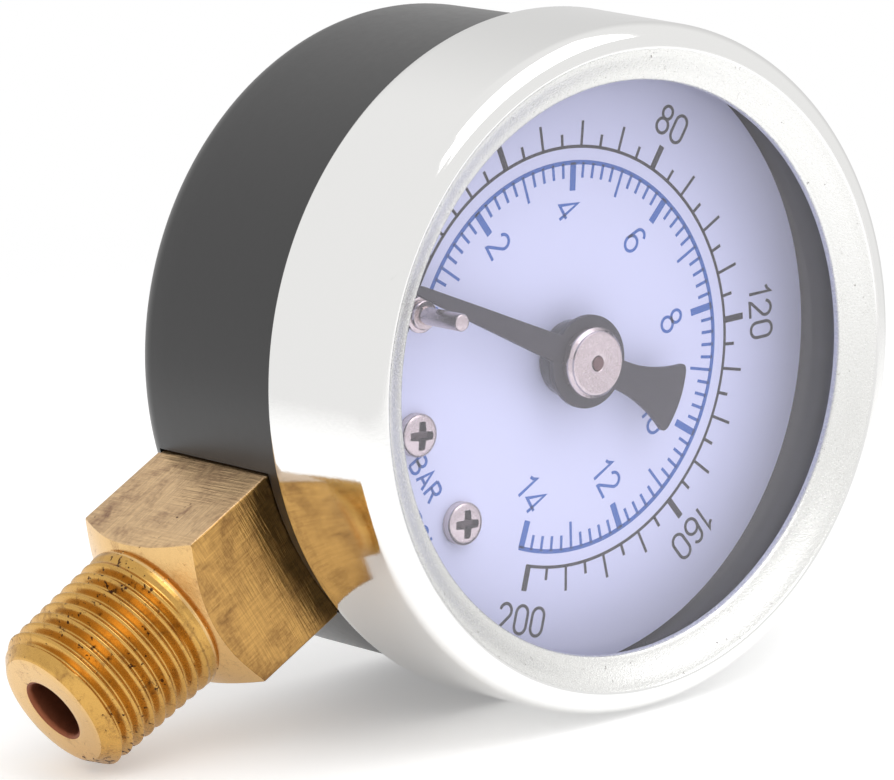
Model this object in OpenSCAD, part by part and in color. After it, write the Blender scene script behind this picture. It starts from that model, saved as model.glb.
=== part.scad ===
// Round dial pressure gauge, forty millimetre class, bottom entry.
// All sizes in millimetres. The origin is the middle of the stem's tip face.
// Z runs up the stem, the dial faces -Y, and X is to the viewer's right.

/* [Housing] */
// Height of the dial centre above the stem's tip face
dial_height = 38.0; // [37:0.1:40]
// Distance of the dial's face in front of the stem axis
dial_offset = 10.3; // [10.2:0.05:10.5]
// Outer radius of the case
case_r = 20.9;
// Thickness of the case's sheet
case_wall = 0.7; // [0.5:0.05:0.8]
// Depth of the case's back face behind the dial's face
case_back = 17.5;
// Radius of the case's rounded back corner
case_corner = 2.0; // [1.2:0.1:2.5]
// Outer radius of the bezel ring
bezel_r = 21.85;
// Thickness of the bezel's sheet
bezel_wall = 0.5; // [0.4:0.05:0.5]
// Radius of the bezel's front opening
lip_r = 18.0; // [17.5:0.1:18.5]
// Thickness of the window
window_t = 1.05; // [0.95:0.05:1.05]

/* [Stem] */
// Width of the square wrench block across its flats
block = 11.0; // [10.6:0.1:11.2]
// Radius of the pressure bore
bore_r = 2.0; // [1.5:0.1:2.4]
// Distance between neighbouring thread crests
pitch = 0.9407;
// Crest radius of the thread at the tip face
thread_r = 4.97; // [4.9:0.01:5.05]
// Number of thread grooves
grooves = 8; // [6:1:8]

/* [Dial] */
// Radius of the dial disc
dial_r = 20.0; // [19.6:0.1:20.1]
// Half distance between the two dial screws
screw_x = 3.5; // [3.3:0.1:3.8]
// Distance of the dial screws below the dial centre
screw_z = 12.4;
// Clockwise angle of the pointer from twelve o'clock at rest
rest_angle = -125.4;
// Length of the pointer from its pivot to its tip
pointer_len = 15.3; // [14.5:0.1:15.6]

/* [Movement] */
// Tooth module of the gears
gear_m = 0.2;
// Teeth on the pinion
pinion_n = 12;
// Teeth a full turn of the sector would have
sector_n = 90;
// Mean radius of the bent pressure tube
tube_r = 14.0; // [13.8:0.1:14.2]
// Number of turns of the hairspring
spring_turns = 5; // [3:1:5]

/* [Hidden] */
$fn = 96;
eps = 0.01;
gasket_t = 2.05;
flare = 0.2;
bezel_corner = 1.4;
flange_r = bezel_r - bezel_wall - flare - 0.02;
dial_hole_r = 1.2;
taper = 1 / 32;
case_in = case_r - case_wall;
rim_y = -4.2;
glass_y = rim_y - window_t;
lip_y = glass_y - bezel_wall;
bezel_front = -7.05;
bezel_rear = 2.5;
dial_t = 0.4;
block_front = dial_offset - block / 2;
corner_r = block / 2 * sqrt(2);
shoulder_z = 11.0;
cone = 0.585;
neck_z = shoulder_z - cone * (corner_r - 5.1);
seat_y = 6.8;
inner_half = block / 2 - 0.1;
flat_top = -20.4;
plate_t = 0.8;
front_plate_y = 1.2;
back_plate_y = seat_y - plate_t;
gap_y0 = front_plate_y + plate_t;
socket_top = -10.3;
link_y = 4.85;
link_t = 0.5;
sector_y = 3.6;
sector_t = 0.8;
pin_r = 0.4;
centre_d = gear_m * (pinion_n + sector_n) / 2;
mesh_a = 138;
sector_x = centre_d * sin(mesh_a);
sector_z = centre_d * cos(mesh_a);
arm_a = -9.06;
arm_l = 2.8;
arm_x = sector_x + arm_l * cos(arm_a);
arm_z = sector_z + arm_l * sin(arm_a);
tip_x = 11.6;
tip_z = -2.4;
tube_w = 5.0;
tube_y = 10.5;
tube_half = 1.0;
tube_wall = 0.3;
root_a = -160;
free_a = 98;
pin_a = -130.3;
pin_d = 12.6;
post_r = 1.3;
pillars = [[-3.8, 3.4], [-3.2, -9.0], [8.2, -11.4]];
seat_screw = [3.6, -15.6];
rear_screw = [3.2, -15.0];

// A flat outline drawn in x and z, standing from depth d0 to d1 behind the dial's face.
module slab(d0, d1) {
  translate([0, d1 - dial_offset, dial_height])
    rotate([90, 0, 0])
      linear_extrude(height = d1 - d0)
        children();
}

// A round rod along the depth at x and z from the dial centre.
module rod(x, z, r, d0, d1) {
  translate([x, d1 - dial_offset, dial_height + z])
    rotate([90, 0, 0])
      cylinder(r = r, h = d1 - d0);
}

// A cone along the depth, radius r0 at depth d0 and r1 at depth d1.
module cone_rod(x, z, r0, r1, d0, d1) {
  translate([x, d1 - dial_offset, dial_height + z])
    rotate([90, 0, 0])
      cylinder(r1 = r1, r2 = r0, h = d1 - d0);
}

// A profile of radius and depth turned about the dial's axis.
module turned(points) {
  translate([0, -dial_offset, dial_height])
    rotate([90, 0, 0])
      rotate_extrude($fn = 180)
        polygon([for (p = points) [p[0], -p[1]]]);
}

// A box from corner a to corner b, in x, depth and height from the dial centre.
module block_at(a, b) {
  translate([a[0], a[1] - dial_offset, dial_height + a[2]])
    cube([b[0] - a[0], b[1] - a[1], b[2] - a[2]]);
}

function crest(z) = thread_r + z * taper;
function groove_z(k) = 1.2 + k * pitch;
function groove_points(k) = [
  [crest(groove_z(k)), groove_z(k) - pitch * 0.42],
  [crest(groove_z(k)) - 0.62, groove_z(k) - pitch * 0.06],
  [crest(groove_z(k)) - 0.62, groove_z(k) + pitch * 0.06],
  [crest(groove_z(k)), groove_z(k) + pitch * 0.42]];

module stem_body() {
  rotate_extrude($fn = 180)
    polygon(concat(
      [[0, 0], [3.95, 0], [crest(0) - 0.16, 0.78]],
      [for (k = [0 : grooves - 1]) each groove_points(k)],
      [[crest(groove_z(grooves)), groove_z(grooves) - pitch * 0.5],
       [4.95, neck_z - 0.5],
       [5.1, neck_z],
       [corner_r + 0.4, shoulder_z + cone * 0.4],
       [corner_r + 0.4, shoulder_z + 4],
       [0, shoulder_z + 4]]));
}

module tube_section(grow) {
  translate([tube_r - tube_half - grow, -tube_w / 2 + tube_half])
    square([2 * (tube_half + grow), tube_w - 2 * tube_half]);
  for (s = [-1, 1])
    translate([tube_r, s * (tube_w / 2 - tube_half)])
      circle(r = tube_half + grow, $fn = 32);
}

// The bent tube's shape between two clockwise angles, enlarged all round by grow.
module tube_arc(a0, a1, grow) {
  translate([0, tube_y - dial_offset, dial_height])
    rotate([90, 0, 0])
      rotate([0, 0, 90 - a1])
        rotate_extrude(angle = a1 - a0, $fn = 180)
          tube_section(grow);
}

module socket() {
  color([0.78, 0.6, 0.28])
    difference() {
      union() {
        intersection() {
          translate([-block / 2, -block / 2, 0])
            cube([block, block, shoulder_z + 3.5]);
          stem_body();
        }
        block_at([-block / 2, block_front, shoulder_z + 3.4 - dial_height],
          [block / 2, block_front + block, flat_top]);
        block_at([-inner_half, block_front, flat_top - eps], [inner_half, block_front + block, -19.6]);
        block_at([-inner_half, seat_y, -19.6], [inner_half, block_front + block, socket_top]);
        block_at([-inner_half, seat_y, -18], [inner_half, case_back - case_wall, socket_top]);
      }
      translate([0, 0, -eps])
        cylinder(r = bore_r, h = 16);
      cylinder(r = 1.0, h = dial_height - 12.6);
      block_cross_hole();
      tube_arc(root_a - 4, root_a + 8, 0.03);
      for (s = [-1, 1]) {
        rod(s * screw_x, -screw_z, 0.7, seat_y - eps, 9.2);
        rod(s * seat_screw[0], seat_screw[1], 0.6, seat_y - eps, 9.7);
        rod(s * rear_screw[0], rear_screw[1], 0.8, 12, case_back);
      }
    }
}

// The passage from the stem's bore to the foot of the tube.
module block_cross_hole() {
  translate([-4.9, tube_y - dial_offset, dial_height - 13.6])
    rotate([0, 90, 0])
      cylinder(r = 0.7, h = 5);
}

module case() {
  color([0.1, 0.1, 0.11])
    difference() {
      turned(concat(
        [[case_in, rim_y], [flange_r, rim_y],
         [flange_r, rim_y + 0.6], [case_r, rim_y + 0.9]],
        [for (i = [0 : 6]) [case_r - case_corner + case_corner * cos(i * 15),
          case_back - case_corner + case_corner * sin(i * 15)]],
        [[0, case_back], [0, case_back - case_wall]],
        [for (i = [6 : -1 : 0]) [case_r - case_corner + (case_corner - case_wall) * cos(i * 15),
          case_back - case_corner + (case_corner - case_wall) * sin(i * 15)]]));
      block_at([-block / 2 - 0.1, block_front - 0.1, -23],
        [block / 2 + 0.1, block_front + block + 0.1, -17]);
      for (s = [-1, 1])
        rod(s * rear_screw[0], rear_screw[1], 0.9, case_back - 2, case_back + 1);
    }
}

module bezel() {
  front_r = bezel_r - flare;
  color([0.85, 0.86, 0.88])
    turned(concat(
      [[bezel_r, bezel_rear]],
      [for (i = [0 : 10]) [front_r - bezel_corner + bezel_corner * cos(i * 9.5),
        bezel_front + bezel_corner - bezel_corner * sin(i * 9.5)]],
      [[lip_r + 0.3, lip_y - 0.06], [lip_r, lip_y], [lip_r, glass_y],
       [lip_r + 0.6, glass_y - 0.02], [front_r - 1.9, bezel_front + 0.75],
       [front_r - 1.4, bezel_front + 0.5], [front_r - 0.8, bezel_front + 0.7],
       [front_r - bezel_wall, bezel_front + bezel_corner], [bezel_r - bezel_wall, bezel_rear]]));
}

module window() {
  color([0.85, 0.92, 0.95, 0.3])
    rod(0, 0, case_r, glass_y, rim_y);
}

module window_gasket() {
  color([0.12, 0.12, 0.12])
    turned([[case_in - 0.75, rim_y], [case_in, rim_y], [case_in, rim_y + gasket_t],
      [case_in - 0.75, rim_y + gasket_t]]);
}

module dial() {
  color([0.9, 0.91, 0.96])
    difference() {
      rod(0, 0, dial_r, 0, dial_t);
      rod(0, 0, dial_hole_r, -eps, dial_t + eps);
      for (s = [-1, 1])
        rod(s * screw_x, -screw_z, 0.75, -eps, dial_t + eps);
      rod(pin_d * sin(pin_a), pin_d * cos(pin_a), 0.52, -eps, dial_t + eps);
    }
}

// A pan head screw with a cross recess, its seat at depth d and its tip at depth tip.
module cross_screw(x, z, d, head_r, head_h, shank_r, tip, dir) {
  difference() {
    union() {
      rod(x, z, head_r, min(d, d - dir * head_h * 0.6), max(d, d - dir * head_h * 0.6));
      if (dir > 0)
        cone_rod(x, z, head_r * 0.72, head_r, d - head_h, d - head_h * 0.6);
      else
        cone_rod(x, z, head_r, head_r * 0.72, d + head_h * 0.6, d + head_h);
      rod(x, z, shank_r, min(d, tip), max(d, tip));
    }
    for (a = [0, 90])
      translate([x, d - dir * head_h - dial_offset, dial_height + z])
        rotate([0, a, 0])
          cube([head_r * 1.15, head_h * 1.1, head_r * 0.24], center = true);
  }
}

module dial_screws() {
  color([0.72, 0.72, 0.7])
    for (s = [-1, 1])
      cross_screw(s * screw_x, -screw_z, 0, 1.37, 0.85, 0.68, 9.0, 1);
}

module dial_posts() {
  color([0.78, 0.62, 0.32])
    for (s = [-1, 1])
      difference() {
        rod(s * screw_x, -screw_z, post_r, dial_t, back_plate_y);
        rod(s * screw_x, -screw_z, 0.75, dial_t - eps, back_plate_y + eps);
      }
}

module stop_pin() {
  x = pin_d * sin(pin_a);
  z = pin_d * cos(pin_a);
  color([0.75, 0.75, 0.73]) {
    rod(x, z, 0.55, -4.15, -0.1);
    rod(x, z, 0.93, -0.6, -0.2);
    rod(x, z, 1.15, -0.25, -0.005);
    rod(x, z, 0.45, -0.1, dial_t + 0.4);
    rod(x, z, 0.8, dial_t + 0.005, dial_t + 0.4);
  }
}

module pointer() {
  color([0.06, 0.06, 0.07])
    difference() {
      union() {
        rod(0, 0, 2.95, -2.1, -1.7);
        slab(-2.1, -1.75)
          rotate([0, 0, 90 - rest_angle])
            polygon([[0, 0.95], [2.9, 0.86], [5.2, 0.76], [9.6, 0.57], [14.6, 0.36],
              [pointer_len, 0.22], [pointer_len, -0.22], [14.6, -0.36], [9.6, -0.57],
              [5.2, -0.76], [2.9, -0.86], [0, -0.95]]);
        slab(-2.1, -1.75)
          rotate([0, 0, 270 - rest_angle])
            polygon(concat([[0, 1.0], [2.9, 0.95]],
              [for (i = [1 : 8]) [2.9 + 4.7 * i / 8, 0.95 + 1.3 * pow(i / 8, 2.2)]],
              [[7.95, 2.2], [8.12, 1.95], [8.3, 1.0], [8.35, 0], [8.3, -1.0], [8.12, -1.95],
               [7.95, -2.2]],
              [for (i = [8 : -1 : 1]) [2.9 + 4.7 * i / 8, -0.95 - 1.3 * pow(i / 8, 2.2)]],
              [[2.9, -0.95], [0, -1.0]]));
      }
      rod(0, 0, 0.7, -2.2, -1.6);
    }
}

module pointer_collar() {
  color([0.05, 0.05, 0.06])
    difference() {
      union() {
        rod(0, 0, 2.45, -1.1, -0.12);
        rod(0, 0, 2.2, -1.7, -1.1);
      }
      rod(0, 0, 0.7, -1.8, -0.1);
    }
}

module pointer_button() {
  color([0.8, 0.79, 0.76])
    difference() {
      union() {
        rod(0, 0, 2.25, -2.7, -2.1);
        cone_rod(0, 0, 1.95, 2.25, -3.0, -2.7);
        rod(0, 0, 0.7, -2.1, -0.6);
      }
      rod(0, 0, 0.44, -3.1, -0.5);
    }
}

// One flank point of an involute tooth: pitch radius rp, at radius r, half thickness w.
function inv_t(rb, r) = r <= rb ? 0 : sqrt(pow(r / rb, 2) - 1) * 180 / PI - acos(rb / r);
function half_a(rp, rb, r, w) = w / rp * 180 / PI + inv_t(rb, rp) - inv_t(rb, r);
function tooth(rp, ra, rf, w) = let (rb = rp * cos(20)) concat(
  [[rf, -half_a(rp, rb, rb, w)]],
  [for (i = [0 : 5]) let (r = max(rb, rf) + (ra - max(rb, rf)) * i / 5) [r, -half_a(rp, rb, r, w)]],
  [for (i = [5 : -1 : 0]) let (r = max(rb, rf) + (ra - max(rb, rf)) * i / 5)
    [r, half_a(rp, rb, r, w)]],
  [[rf, half_a(rp, rb, rb, w)]]);
module gear_teeth(rp, ra, rf, w, angles) {
  for (a = angles)
    polygon(concat([[0, 0]],
      [for (p = tooth(rp, ra, rf, w)) [p[0] * cos(a + p[1]), p[0] * sin(a + p[1])]]));
}

module pinion_arbor() {
  rp = gear_m * pinion_n / 2;
  color([0.7, 0.62, 0.45]) {
    rod(0, 0, 0.43, -2.98, 7.0);
    rod(0, 0, 0.7, gap_y0 + 0.25, 3.31);
    slab(3.3, 4.8)
      union() {
        circle(r = rp - 1.05 * gear_m, $fn = 48);
        gear_teeth(rp, rp + 0.85 * gear_m, rp - 1.05 * gear_m, PI * gear_m / 4 - 0.02,
          [for (k = [0 : pinion_n - 1]) 90 - mesh_a + k * 360 / pinion_n]);
      }
    rod(0, 0, 0.6, 4.79, back_plate_y - 0.25);
  }
}

module sector_gear() {
  rp = gear_m * sector_n / 2;
  step = 360 / sector_n;
  face = 270 - mesh_a;
  color([0.8, 0.66, 0.36])
    difference() {
      union() {
        slab(sector_y, sector_y + sector_t)
          translate([sector_x, sector_z]) {
            difference() {
              polygon(concat([[0, 0]],
                [for (i = [0 : 26]) [(rp - 0.18) * cos(face - 46 + i * 2), (rp - 0.18) * sin(face - 46 + i * 2)]]));
              polygon(concat(
                [for (i = [0 : 10]) [(rp - 1.6) * cos(face - 40 + i * 4), (rp - 1.6) * sin(face - 40 + i * 4)]],
                [[2.9 * cos(face - 8), 2.9 * sin(face - 8)], [2.9 * cos(face - 32), 2.9 * sin(face - 32)]]));
            }
            difference() {
              gear_teeth(rp, rp + 0.7 * gear_m, rp - 1.05 * gear_m, PI * gear_m / 4 - 0.02,
                [for (k = [-11 : 1]) face + (k + 0.5) * step]);
              circle(r = rp - 1);
            }
            circle(r = 1.7);
            rotate([0, 0, arm_a])
              translate([0, -0.85])
                square([arm_l, 1.7]);
          }
        rod(arm_x, arm_z, 0.95, sector_y, sector_y + sector_t);
      }
      rod(sector_x, sector_z, 0.9, sector_y - 0.1, sector_y + sector_t + 0.1);
      rod(arm_x, arm_z, pin_r, sector_y - 0.1, sector_y + sector_t + 0.1);
    }
}

module sector_arbor() {
  color([0.72, 0.72, 0.74]) {
    rod(sector_x, sector_z, 0.5, front_plate_y - 0.15, seat_y + 0.2);
    rod(sector_x, sector_z, 0.89, gap_y0 + 0.25, back_plate_y - 0.25);
  }
}

module sector_link_pin() {
  color([0.72, 0.72, 0.74]) {
    rod(arm_x, arm_z, pin_r - 0.005, sector_y, link_y + link_t + 0.2);
    rod(arm_x, arm_z, 0.6, sector_y + sector_t, link_y - 0.06);
    rod(arm_x, arm_z, 0.62, link_y + link_t + 0.06, link_y + link_t + 0.22);
  }
}

module link() {
  dx = tip_x - arm_x;
  dz = tip_z - arm_z;
  len = sqrt(dx * dx + dz * dz);
  color([0.82, 0.68, 0.4])
    difference() {
      union() {
        rod(arm_x, arm_z, 0.95, link_y, link_y + link_t);
        rod(tip_x, tip_z, 1.1, link_y, link_y + link_t);
        slab(link_y, link_y + link_t)
          translate([arm_x, arm_z])
            rotate([0, 0, atan2(dz, dx)])
              translate([0, -0.5])
                square([len, 1.0]);
      }
      rod(arm_x, arm_z, pin_r + 0.04, link_y - 0.1, link_y + link_t + 0.1);
      rod(tip_x, tip_z, pin_r + 0.16, link_y - 0.1, link_y + link_t + 0.1);
    }
}

module tube_end() {
  color([0.8, 0.66, 0.36])
    difference() {
      union() {
        translate([0, tube_y - dial_offset, dial_height])
          rotate([90, 0, 0])
            rotate([0, 0, 90 - free_a - 6])
              rotate_extrude(angle = 8, $fn = 180)
                translate([tube_r - 1.5, -3.0])
                  square([3.0, 6.0]);
        block_at([tip_x - 1.0, 5.7, tip_z - 1.1], [tip_x + 2.0, 7.6, tip_z + 0.9]);
        block_at([tip_x + 0.8, 6.8, tip_z - 1.1], [tip_x + 2.0, 9.0, tip_z + 0.3]);
      }
      tube_arc(free_a - 5, free_a + 0.05, 0.06);
      rod(tip_x, tip_z, pin_r, 5.5, 7.8);
    }
}

module tube_end_pin() {
  color([0.72, 0.72, 0.74]) {
    rod(tip_x, tip_z, pin_r - 0.005, link_y - 0.25, 7.4);
    rod(tip_x, tip_z, 0.75, link_y - 0.3, link_y - 0.06);
  }
}

module bourdon_tube() {
  color([0.8, 0.64, 0.32])
    difference() {
      tube_arc(root_a, free_a, 0);
      tube_arc(root_a - 1, free_a + 1, -tube_wall);
    }
}

function spring_r(i) = 0.87 + 2.15 * i / (spring_turns * 24);
module hairspring() {
  n = spring_turns * 24;
  half = 0.05;
  color([0.45, 0.5, 0.62])
    slab(gap_y0 + 0.45, gap_y0 + 0.85)
      polygon(concat(
        [for (i = [0 : n]) [(spring_r(i) + half) * cos(i * 15), (spring_r(i) + half) * sin(i * 15)]],
        [for (i = [n : -1 : 0]) [(spring_r(i) - half) * cos(i * 15), (spring_r(i) - half) * sin(i * 15)]]));
}

module hairspring_collet() {
  color([0.8, 0.66, 0.36])
    difference() {
      rod(0, 0, 0.8, gap_y0 + 0.35, gap_y0 + 0.95);
      rod(0, 0, 0.7, gap_y0 + 0.3, gap_y0 + 1.0);
    }
}

module hairspring_stud() {
  color([0.8, 0.66, 0.36])
    rod(3.42, 0, 0.35, gap_y0, gap_y0 + 1.0);
}

module plate_outline() {
  polygon([[-5.0, 3.0], [-4.5, -9.3], [-3.4, -10.3], [4.8, -9.9], [7.2, -12.5], [9.1, -12.4],
    [9.3, -6.0], [8.2, -5.2], [2.2, 2.4], [-3.4, 4.7]]);
  for (p = pillars)
    translate(p)
      circle(r = 1.4);
  circle(r = 2.6);
  translate([sector_x, sector_z])
    circle(r = 2.6);
}

module front_plate() {
  color([0.8, 0.66, 0.36])
    difference() {
      slab(front_plate_y, front_plate_y + plate_t)
        plate_outline();
      rod(0, 0, 0.47, front_plate_y - 1, front_plate_y + 2);
      rod(sector_x, sector_z, 0.54, front_plate_y - 1, front_plate_y + 2);
      for (p = pillars)
        rod(p[0], p[1], 0.52, front_plate_y - 1, front_plate_y + 2);
    }
}

module back_plate() {
  color([0.8, 0.66, 0.36])
    difference() {
      slab(back_plate_y, seat_y)
        union() {
          plate_outline();
          translate([-5.2, -17.2])
            square([10.4, 8]);
        }
      rod(0, 0, 0.47, back_plate_y - 1, seat_y + 1);
      rod(sector_x, sector_z, 0.54, back_plate_y - 1, seat_y + 1);
      for (p = pillars)
        rod(p[0], p[1], 0.7, back_plate_y - 1, seat_y + 1);
      for (s = [-1, 1]) {
        rod(s * screw_x, -screw_z, 0.75, back_plate_y - 1, seat_y + 1);
        rod(s * seat_screw[0], seat_screw[1], 0.65, back_plate_y - 1, seat_y + 1);
      }
    }
}

module plate_pillars() {
  color([0.8, 0.66, 0.36])
    for (p = pillars)
      difference() {
        union() {
          rod(p[0], p[1], 1.1, gap_y0, back_plate_y);
          rod(p[0], p[1], 0.7, back_plate_y - eps, seat_y + 0.25);
        }
        rod(p[0], p[1], 0.5, gap_y0 - eps, gap_y0 + 1.8);
      }
}

module plate_screws() {
  color([0.7, 0.7, 0.72])
    for (p = pillars)
      difference() {
        union() {
          rod(p[0], p[1], 1.05, front_plate_y - 0.55, front_plate_y);
          rod(p[0], p[1], 0.48, front_plate_y - eps, gap_y0 + 1.6);
        }
        block_at([p[0] - 1.2, front_plate_y - 0.6, p[1] - 0.14],
          [p[0] + 1.2, front_plate_y - 0.3, p[1] + 0.14]);
      }
}

module movement_screws() {
  color([0.7, 0.7, 0.72])
    for (s = [-1, 1])
      cross_screw(s * seat_screw[0], seat_screw[1], back_plate_y, 1.2, 0.8, 0.58, 9.6, 1);
}

module rear_screws() {
  color([0.7, 0.7, 0.72])
    for (s = [-1, 1])
      cross_screw(s * rear_screw[0], rear_screw[1], case_back, 1.6, 0.9, 0.78, 12.2, -1);
}

socket();
case();
bezel();
window();
window_gasket();
dial();
dial_screws();
dial_posts();
stop_pin();
pointer();
pointer_collar();
pointer_button();
pinion_arbor();
sector_gear();
sector_arbor();
sector_link_pin();
link();
tube_end();
tube_end_pin();
bourdon_tube();
hairspring();
hairspring_collet();
hairspring_stud();
front_plate();
back_plate();
plate_pillars();
plate_screws();
movement_screws();
rear_screws();
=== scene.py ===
"""Round dial pressure gauge: the finished surfaces, dial print and light round its fixed frame."""

import math

import bmesh
import bpy
from mathutils import Matrix, Vector


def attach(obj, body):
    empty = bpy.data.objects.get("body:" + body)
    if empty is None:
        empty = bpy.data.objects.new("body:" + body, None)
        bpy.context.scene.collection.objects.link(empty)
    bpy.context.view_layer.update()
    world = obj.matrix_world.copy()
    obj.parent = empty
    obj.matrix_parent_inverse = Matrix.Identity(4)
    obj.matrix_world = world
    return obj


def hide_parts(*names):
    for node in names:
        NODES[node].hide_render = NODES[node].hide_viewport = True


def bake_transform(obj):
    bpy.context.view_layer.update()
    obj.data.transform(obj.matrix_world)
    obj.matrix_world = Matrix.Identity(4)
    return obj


MM = 0.001
DIAL_CENTRE = Vector((0.0, -10.3, 38.0))
START_ANGLE, FULL_ANGLE = -135.0, 135.0
PRINT_DEPTH = 0.018
FULL_PSI = 200.0
PSI_ARC_R, PSI_TICK_INNER = 13.3, 13.25
BAR_ARC_R, BAR_LONG_INNER, BAR_SHORT_INNER = 12.3, 10.53, 11.33
PSI_PER_BAR = 14.5038
REST_ANGLE = -125.4
BLOCK_HALF = 5.5
BLOCK_CORNER = 0.22
SEAT_HALF = 5.4
PITCH = 0.9407
THREAD_R = 4.97
SHOULDER_Z = 11.0
NECK_R = 5.1
CONE_RISE = 0.585
CORNER_R = BLOCK_HALF * math.sqrt(2)
NECK_Z = SHOULDER_Z - CONE_RISE * (CORNER_R - NECK_R)
THREAD_TOP = NECK_Z - 0.45
TIP_R, TIP_CUT = 3.95, 0.05
BORE_R = 2.0
BLOCK_TOP, SEAT_Z, SEAT_TOP = 17.6, 18.4, 27.7

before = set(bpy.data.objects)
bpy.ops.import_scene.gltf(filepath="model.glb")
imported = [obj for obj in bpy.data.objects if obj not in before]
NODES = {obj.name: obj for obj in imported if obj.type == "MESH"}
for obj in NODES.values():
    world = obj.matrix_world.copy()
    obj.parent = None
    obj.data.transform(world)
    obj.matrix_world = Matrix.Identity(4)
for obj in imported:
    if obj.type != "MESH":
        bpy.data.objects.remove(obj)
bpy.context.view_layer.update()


# ---------------------------------------------------------------- shop helpers


def at_dial(x, z, depth):
    """A point in metres from millimetres right of, above and behind the dial's middle."""
    return Vector((x, DIAL_CENTRE.y + depth, DIAL_CENTRE.z + z)) * MM


def tone(red, green, blue):
    """A linear colour from screen values between 0 and 255."""
    return tuple(
        ((c / 255 + 0.055) / 1.055) ** 2.4 if c > 10 else c / 3294.6 for c in (red, green, blue)
    ) + (1.0,)


def piece(name, points, faces, finishes, body, stands_for=(), sharp=35.0):
    """A mesh piece in metres that rides on a body.

    faces are index lists, or pairs of an index list and a finish number.
    """
    mesh = bpy.data.meshes.new(name)
    plain = [f[0] if isinstance(f, tuple) else f for f in faces]
    mesh.from_pydata([tuple(p) for p in points], [], plain)
    for finish in finishes:
        mesh.materials.append(finish)
    for polygon, face in zip(mesh.polygons, faces):
        polygon.material_index = face[1] if isinstance(face, tuple) else 0
        polygon.use_smooth = True
    mesh.update()
    shape = bmesh.new()
    shape.from_mesh(mesh)
    bmesh.ops.remove_doubles(shape, verts=shape.verts, dist=1e-8)
    bmesh.ops.recalc_face_normals(shape, faces=shape.faces)
    shape.to_mesh(mesh)
    shape.free()
    mesh.set_sharp_from_angle(angle=math.radians(sharp))
    made = bpy.data.objects.new(name, mesh)
    bpy.context.scene.collection.objects.link(made)
    if body:
        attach(made, body)
    if stands_for:
        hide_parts(*stands_for)
    return made


def turned_shape(profile, sides, place, closed=True):
    """Points and faces of a profile of (radius, height) turned about an axis.

    place maps radius, angle and height to a point.
    """
    points = []
    for radius, height in profile:
        for k in range(sides):
            points.append(place(radius, 2 * math.pi * k / sides, height))
    rows = len(profile)
    faces = []
    for i in range(rows if closed else rows - 1):
        a, b = i * sides, ((i + 1) % rows) * sides
        for k in range(sides):
            n = (k + 1) % sides
            faces.append([a + k, a + n, b + n, b + k])
    return points, faces


def about_dial_axis(x, z):
    """Places a turned profile round an axis along the depth at x, z from the dial's middle."""
    return lambda radius, angle, depth: at_dial(
        x + radius * math.sin(angle), z + radius * math.cos(angle), depth
    )


def gather(shapes):
    """Joins several (points, faces) shapes into one list of points and faces."""
    points, faces = [], []
    for some_points, some_faces in shapes:
        base = len(points)
        points += some_points
        for face in some_faces:
            if isinstance(face, tuple):
                faces.append(([base + i for i in face[0]], face[1]))
            else:
                faces.append([base + i for i in face])
    return points, faces


def slab_shape(outline, low, high):
    """A flat outline in millimetres from the dial's middle, standing between two depths."""
    n = len(outline)
    points = [at_dial(x, z, high) for x, z in outline] + [at_dial(x, z, low) for x, z in outline]
    faces = [list(range(n)), list(range(2 * n - 1, n - 1, -1))]
    faces += [[i, n + i, n + (i + 1) % n, (i + 1) % n] for i in range(n)]
    return points, faces


def rounded(made, width, segments=2, angle=40.0):
    """Rounds a piece's sharp edges by a small width in millimetres."""
    edge = made.modifiers.new("edges", "BEVEL")
    edge.width = width * MM
    edge.segments = segments
    edge.limit_method = "ANGLE"
    edge.angle_limit = math.radians(angle)
    edge.harden_normals = False
    return made


def held(value):
    """A value kept between 0 and 1."""
    return min(1.0, max(0.0, value))


def bands(rows, count):
    """Four-cornered faces between neighbouring rows of points that each close on themselves."""
    faces = []
    for i in range(rows - 1):
        for k in range(count):
            n = (k + 1) % count
            faces.append([i * count + k, i * count + n, (i + 1) * count + n, (i + 1) * count + k])
    return faces


def clock(radius, angle):
    """x and z at a clockwise angle in degrees from twelve o'clock."""
    return radius * math.sin(math.radians(angle)), radius * math.cos(math.radians(angle))


# ---------------------------------------------------------------- surface effects


def effect(name, inputs, outputs, build):
    """A shader node group with named sockets. inputs and outputs are (name, kind, value)."""
    group = bpy.data.node_groups.new(name, "ShaderNodeTree")
    for label, kind, value in inputs:
        socket = group.interface.new_socket(name=label, in_out="INPUT", socket_type="NodeSocket" + kind)
        if value is not None:
            socket.default_value = value
    for label, kind in outputs:
        group.interface.new_socket(name=label, in_out="OUTPUT", socket_type="NodeSocket" + kind)
    build(group, group.nodes.new("NodeGroupInput").outputs, group.nodes.new("NodeGroupOutput").inputs)
    return group


def add(tree, kind, values=None, **settings):
    """A node with its settings and its input values, which may be other nodes' outputs."""
    made = tree.nodes.new(kind)
    for key, value in settings.items():
        setattr(made, key, value)
    for key, value in (values or {}).items():
        if isinstance(value, bpy.types.NodeSocket):
            tree.links.new(value, made.inputs[key])
        else:
            made.inputs[key].default_value = value
    return made


def maths(tree, operation, a, b=0.0, clamp=False):
    """One sum; a and b are numbers or other nodes' outputs."""
    return add(tree, "ShaderNodeMath", {0: a, 1: b}, operation=operation, use_clamp=clamp).outputs[0]


def share_of(tree, a, part_a, b, part_b):
    """Part of one value plus part of another."""
    return maths(tree, "ADD", maths(tree, "MULTIPLY", a, part_a), maths(tree, "MULTIPLY", b, part_b))


def noise(tree, where, scale, detail, **more):
    """The value of a noise texture."""
    values = {"Vector": where, "Scale": scale, "Detail": detail, **more}
    return add(tree, "ShaderNodeTexNoise", values).outputs[0]


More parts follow.
